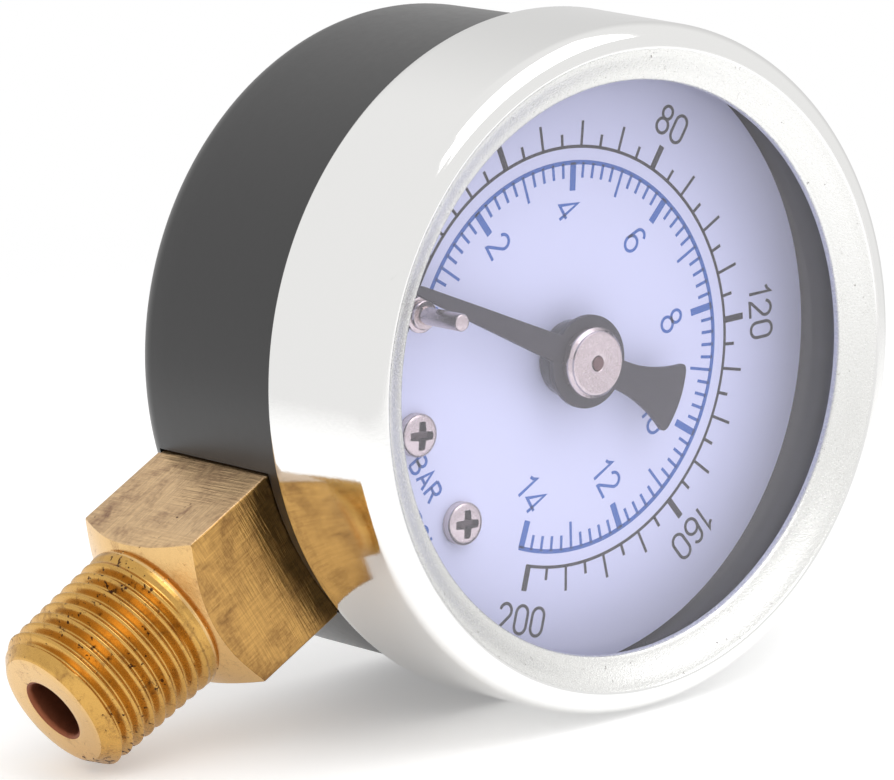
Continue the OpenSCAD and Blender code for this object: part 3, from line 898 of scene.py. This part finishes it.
def psi_figures():
    """The black figures round the outer scale."""
    shapes = []
    for psi in (40, 80, 120, 160):
        x, z = clock(16.45, psi_angle(psi))
        shapes.append(lettering(str(psi), x, z, 2.0, psi_angle(psi)))
    for psi, turn, nudge in ((0, 45, 0.0), (200, -45, 0.3)):
        x, z = clock(16.5, psi_angle(psi))
        shapes.append(lettering(str(psi), x + nudge, z, 2.0, turn))
    points, faces = gather(shapes)
    return piece("psi_figures", points, faces, [BLACK_INK], "frame")


def bar_figures():
    """The blue figures inside the inner scale, and the unit words."""
    places = {
        2: (-9.45, -0.85), 4: (-8.1, 4.85), 6: (-3.0, 8.35), 8: (3.3, 8.2), 10: (7.7, 3.9),
        12: (8.6, -1.35), 14: (5.65, -6.85)
    }
    shapes = [lettering(str(bar), x, z, 1.95, 0.0) for bar, (x, z) in places.items()]
    shapes.append(lettering("BAR", -0.55, -13.1, 1.5, 0.0, 0.2, 0.34))
    shapes.append(lettering("PSI", 1.9, -15.3, 1.5, 0.0, 0.2, 0.34))
    points, faces = gather(shapes)
    return piece("bar_figures", points, faces, [BLUE_INK], "frame")


# ---------------------------------------------------------------- pointer and its parts


def pointer_hand():
    """The pointer: slim blade, round hub and a tail that widens to a fan."""
    blade = [
        (15.3, 0.0), (15.27, 0.12), (15.15, 0.24), (14.6, 0.34), (12.0, 0.46), (9.6, 0.57), (7.4, 0.66),
        (5.2, 0.76), (3.6, 0.83), (2.82, 0.87)
    ]
    hub = []
    first, last = math.degrees(math.atan2(0.87, 2.82)), 180 - math.degrees(math.atan2(0.95, 2.79))
    for k in range(1, 32):
        a = math.radians(first + (last - first) * k / 32)
        hub.append((2.95 * math.cos(a), 2.95 * math.sin(a)))
    tail = []
    for k in range(0, 21):
        s = k / 20
        tail.append((-(2.79 + 4.85 * s), 0.95 + 1.25 * s**2.1))
    tail += [(-7.82, 2.2), (-7.96, 2.1), (-8.08, 1.9)]
    tail += [(-8.08 - 0.27 * (1 - (y / 1.9) ** 2), y) for y in (1.5, 1.0, 0.5)] + [(-8.35, 0.0)]
    upper = blade + hub + tail
    outline = upper + [(a, -b) for a, b in reversed(upper[1:-1])]
    ax, az = clock(1.0, REST_ANGLE)
    flat = [(a * ax + b * az, a * az - b * ax) for a, b in outline]
    points, faces = slab_shape(flat, -1.72, -2.1)
    made = piece(
        "pointer_hand", points, faces, [POINTER_ENAMEL], "pointer_body", ["pointer"]
    )
    return rounded(made, 0.05, 2, 50.0)


def turned_piece(name, x, z, profile, finish, body, stands_for, sides=96):
    """A turned piece with its axis along the depth."""
    points, faces = turned_shape(profile, sides, about_dial_axis(x, z))
    return piece(name, points, faces, [finish], body, stands_for, 32.0)


def button_cap():
    """The nickel button on the hub, with its stepped rim and fine turning rings."""
    profile = [
        (0.45, -0.62), (0.7, -0.6), (0.7, -2.1), (2.16, -2.1), (2.22, -2.13), (2.25, -2.18),
        (2.25, -2.62), (2.23, -2.68), (2.1, -2.78), (2.03, -2.84), (2.0, -2.95), (1.94, -2.99)
    ]
    for k in range(9):
        r = 1.86 - k * 0.14
        profile += [(r, -3.0), (r - 0.05, -2.992)]
    profile += [(0.56, -3.0), (0.5, -2.97), (0.45, -2.9)]
    return turned_piece(
        "button_cap", 0, 0, profile, NICKEL, "pointer_body", ["pointer_button"], 128
    )


def hub_collar():
    """The stepped black bush behind the pointer."""
    profile = [
        (0.72, -0.13), (2.34, -0.12), (2.42, -0.17), (2.45, -0.25), (2.45, -0.95), (2.42, -1.05),
        (2.33, -1.1), (2.24, -1.14), (2.2, -1.24), (2.2, -1.6), (2.17, -1.68), (2.1, -1.7), (0.72, -1.7)
    ]
    return turned_piece(
        "hub_collar", 0, 0, profile, COLLAR_ENAMEL, "pointer_body", ["pointer_collar"]
    )


def stop_peg():
    """The nickel peg that the pointer rests on, with its stepped foot."""
    x, z = clock(12.6, -130.3)
    profile = [
        (0.02, -4.15), (0.42, -4.15), (0.5, -4.11), (0.55, -4.03), (0.55, -0.66), (0.58, -0.6),
        (0.86, -0.6), (0.92, -0.55), (0.93, -0.48), (0.93, -0.27), (1.06, -0.25), (1.13, -0.2),
        (1.15, -0.12), (1.15, -0.005), (0.45, -0.005), (0.45, 0.41), (0.8, 0.41), (0.8, 0.76),
        (0.74, 0.8), (0.02, 0.8)
    ]
    return turned_piece("stop_peg", x, z, profile, NICKEL, "frame", ["stop_pin"])


SCREW_HEAD_R = 1.37
SCREW_X, SCREW_Z = 3.5, -12.4


def pan_head(x, z, turn, sides=144):
    """A pan head screw with a cross recess, its seat on the dial and its shank behind; the recess carries
    a dark painted shade.
    """
    rings = [SCREW_HEAD_R * k / 44 for k in range(45)]
    points, in_painted_shade = [], []
    for r in rings:
        share = r / SCREW_HEAD_R
        for k in range(sides):
            a = 2 * math.pi * k / sides
            u, w = r * math.cos(a + turn), r * math.sin(a + turn)
            arm = min(abs(u), abs(w))
            reach = max(abs(u), abs(w))
            wall = held((0.3 - 0.08 * reach - arm) / 0.06)
            end = held((0.9 - reach) / 0.14)
            dish = 0.55 * wall * end * (0.7 + 0.3 * max(0.0, 1 - reach))
            top = 0.5 + 0.34 * math.sqrt(max(0.0, 1 - share**3.2)) - dish
            points.append(at_dial(x + r * math.sin(a), z + r * math.cos(a), -top))
            in_painted_shade.append(dish > 0.05)
    # Faces that touch the recess take the second finish, a dark painted shade.
    faces = [
        (corners, 1 if any(in_painted_shade[c] for c in corners) else 0) for corners in bands(len(rings), sides)
    ]
    skirt = [
        (SCREW_HEAD_R, -0.5), (SCREW_HEAD_R, -0.06), (1.33, 0.0), (0.68, 0.0), (0.68, 8.7), (0.4, 9.0),
        (0.02, 9.0)
    ]
    more, quads = turned_shape(skirt, sides, about_dial_axis(x, z), closed=False)
    return gather([(points, faces), (more, quads)])


def dial_screw_pair():
    """The two pan head screws that hold the dial."""
    points, faces = gather([pan_head(-SCREW_X, SCREW_Z, -0.59), pan_head(SCREW_X, SCREW_Z, -0.57)])
    return piece(
        "dial_screw_pair", points, faces, [NICKEL, RECESS_PAINTED_SHADE], "frame", ["dial_screws"], 38.0
    )


# ---------------------------------------------------------------- pressure tube


TUBE_R = 14.0
TUBE_DEPTH = 10.5
TUBE_FLAT = 1.5
TUBE_START, TUBE_SWEEP = -160, 258


def pressure_tube():
    """The flattened tube bent to a C."""
    section = []
    for k in range(32):
        a = 2 * math.pi * k / 32
        flat = abs(math.sin(a)) <= 1e-6
        to_back = k < 16 if flat else math.sin(a) > 0
        edge = TUBE_FLAT if to_back else -TUBE_FLAT
        section.append((math.cos(a), edge if flat else edge + math.sin(a)))
    rows = 150
    points, faces = [], []
    for grow in (1.0, 0.7):
        for i in range(rows + 1):
            angle = TUBE_START + TUBE_SWEEP * i / rows
            for across, along in section:
                edge = TUBE_FLAT if along > 0 else -TUBE_FLAT
                x, z = clock(TUBE_R + across * grow, angle)
                points.append(at_dial(x, z, TUBE_DEPTH + edge + (along - edge) * grow))
    n = len(section)
    shift = (rows + 1) * n
    for i in range(rows):
        for k in range(n):
            m = (k + 1) % n
            faces.append([i * n + k, i * n + m, (i + 1) * n + m, (i + 1) * n + k])
            faces.append(
                [shift + i * n + m, shift + i * n + k, shift + (i + 1) * n + k, shift + (i + 1) * n + m]
            )
    for i in (0, rows):
        for k in range(n):
            m = (k + 1) % n
            faces.append([i * n + k, i * n + m, shift + i * n + m, shift + i * n + k])
    made = piece(
        "pressure_tube", points, faces, [TUBE_BRONZE], None, ["bourdon_tube"], 45.0
    )
    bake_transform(made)
    return made


# ---------------------------------------------------------------- finishes of the frame's own nodes


NODE_FINISHES = {
    "window": WINDOW_CLEAR,
    "window_gasket": GASKET_RUBBER,
    "dial": DIAL_ENAMEL,
    "dial_posts": MOVEMENT_BRASS,
    "pinion_arbor": ARBOR_STEEL,
    "sector_gear": MOVEMENT_BRASS,
    "sector_arbor": STEEL,
    "sector_link_pin": STEEL,
    "link": MOVEMENT_BRASS,
    "tube_end": TUBE_BRONZE,
    "tube_end_pin": STEEL,
    "hairspring": SPRING_BRONZE,
    "hairspring_collet": MOVEMENT_BRASS,
    "hairspring_stud": MOVEMENT_BRASS,
    "front_plate": MOVEMENT_BRASS,
    "back_plate": MOVEMENT_BRASS,
    "plate_pillars": MOVEMENT_BRASS,
    "plate_screws": STEEL,
    "movement_screws": STEEL,
    "rear_screws": NICKEL,
}


def finish_nodes():
    """Gives the frame's own nodes their finishes."""
    for name, finish in NODE_FINISHES.items():
        NODES[name].data.materials.clear()
        NODES[name].data.materials.append(finish)


# ---------------------------------------------------------------- floor, light and camera


# Upwards from the table. The gauge lies on its side, so this is mostly -x.
UP = Vector((-0.886, 0.0, 0.464)).normalized()
FLOOR_LEVEL = -4.23
TABLE_R, FADE_FROM, FADE_TO = 170, 45.0, 160.0


def table_top():
    """A pale round table that fades out at its rim and can't be seen from below."""
    centre = Vector((8.0, -4.0, 16.0))
    centre -= UP * (centre.dot(UP) - FLOOR_LEVEL)
    across = Vector((0, 1, 0))
    along = UP.cross(across)
    points = [centre * MM]
    rings, sides = 12, 96
    for i in range(1, rings + 1):
        for k in range(sides):
            a = 2 * math.pi * k / sides
            points.append(
                (centre + (across * math.cos(a) + along * math.sin(a)) * (TABLE_R * i / rings)) * MM
            )
    faces = [[0, 1 + (k + 1) % sides, 1 + k] for k in range(sides)]
    faces += [[1 + corner for corner in corners] for corners in bands(rings, sides)]
    made, tree, inputs = surface(
        "table_paper", Roughness=0.5, Specular_IOR_Level=0.25,
        Emission_Color=(1.0, 1.0, 1.0, 1.0), Emission_Strength=0.28,
    )
    tones = use(
        tree, TARNISH, Clean=tone(240, 240, 240), Stained=tone(237, 237, 238), Scale=0.03, Amount=0.3
    )
    tree.links.new(tones["Color"], inputs["Base Color"])
    where = place_in_mm(tree)
    away = add(
        tree, "ShaderNodeVectorMath", {0: where, 1: tuple(centre)}, operation="DISTANCE"
    ).outputs["Value"]
    fade = ramp(tree, away, FADE_FROM, FADE_TO)
    behind = add(tree, "ShaderNodeNewGeometry").outputs["Backfacing"]
    clear = maths(tree, "MAXIMUM", fade, behind)
    through = add(tree, "ShaderNodeBsdfTransparent")
    both = add(tree, "ShaderNodeMixShader", {0: clear, 2: through.outputs[0]})
    tree.links.new(tree.nodes["Principled BSDF"].outputs[0], both.inputs[1])
    tree.links.new(both.outputs[0], tree.nodes["Material Output"].inputs["Surface"])
    mesh = bpy.data.meshes.new("table_top")
    mesh.from_pydata([tuple(p) for p in points], [], faces)
    mesh.materials.append(made)
    mesh.update()
    if mesh.polygons[0].normal.dot(UP) < 0:
        mesh.flip_normals()
    top = bpy.data.objects.new("table_top", mesh)
    bpy.context.scene.collection.objects.link(top)


def soft_box(name, towards, distance, width, height, power):
    """A soft lamp in a direction from the gauge's middle; distance and size in metres."""
    lamp = bpy.data.lights.new(name, "AREA")
    lamp.shape = "RECTANGLE"
    lamp.size, lamp.size_y = width, height
    lamp.energy = power
    holder = bpy.data.objects.new(name, lamp)
    bpy.context.scene.collection.objects.link(holder)
    direction = Vector(towards).normalized()
    holder.location = Vector((0.004, -0.002, 0.026)) + direction * distance
    holder.rotation_mode = "QUATERNION"
    holder.rotation_quaternion = (-direction).to_track_quat("-Z", "Y")


def studio():
    """A bright even room with one dimmer corner, and two soft lamps."""
    world = bpy.data.worlds.new("studio")
    bpy.context.scene.world = world
    world.use_nodes = True
    tree = world.node_tree
    tree.nodes.clear()
    path = add(tree, "ShaderNodeLightPath")
    seen = add(tree, "ShaderNodeBackground", {"Color": (1, 1, 1, 1), "Strength": 1.0})
    facing = add(tree, "ShaderNodeTexCoord").outputs["Generated"]
    dim_corner = add(
        tree, "ShaderNodeVectorMath", {0: facing, 1: (0.3, 0.75, 0.58)}, operation="DOT_PRODUCT"
    ).outputs["Value"]
    level = maths(tree, "SUBTRACT", 0.94, maths(tree, "MULTIPLY", ramp(tree, dim_corner, 0.55, 1.0), 0.2))
    room = add(tree, "ShaderNodeBackground", {"Color": (1.0, 0.995, 0.99, 1), "Strength": level})
    both = add(
        tree, "ShaderNodeMixShader",
        {0: path.outputs["Is Camera Ray"], 1: room.outputs[0], 2: seen.outputs[0]}
    )
    out = add(tree, "ShaderNodeOutputWorld", {"Surface": both.outputs[0]})
    soft_box("key_lamp", UP * 1.0 + Vector((0.1, -0.55, 0.25)), 0.34, 0.3, 0.3, 0.34)
    soft_box("side_lamp", (-0.75, -0.5, 0.5), 0.42, 0.16, 0.36, 0.2)
    bpy.context.scene.view_settings.view_transform = "Standard"
    bpy.context.scene.view_settings.look = "None"


def camera():
    """The view down at the tip and the dial."""
    lens = bpy.data.cameras.new("camera")
    lens.sensor_width = 36.0
    lens.lens = 241.6
    lens.shift_x = -0.0077
    lens.shift_y = -0.0209
    lens.clip_start, lens.clip_end = 0.01, 10.0
    holder = bpy.data.objects.new("camera", lens)
    bpy.context.scene.collection.objects.link(holder)
    right = Vector((0.39893, -0.63888, 0.6578)).normalized()
    down = Vector((0.78547, -0.13209, -0.60464)).normalized()
    forward = Vector((0.47318, 0.75789, 0.44912)).normalized()
    turn = Matrix((right, -down, -forward)).transposed()
    holder.matrix_world = Matrix.Translation((-0.180052, -0.290839, -0.136053)) @ turn.to_4x4()
    bpy.context.scene.camera = holder


stem_and_socket()
case_cup()
bezel_ring()
psi_scale()
bar_scale()
psi_figures()
bar_figures()
pointer_hand()
button_cap()
hub_collar()
stop_peg()
dial_screw_pair()
pressure_tube()
finish_nodes()
table_top()
studio()
camera()
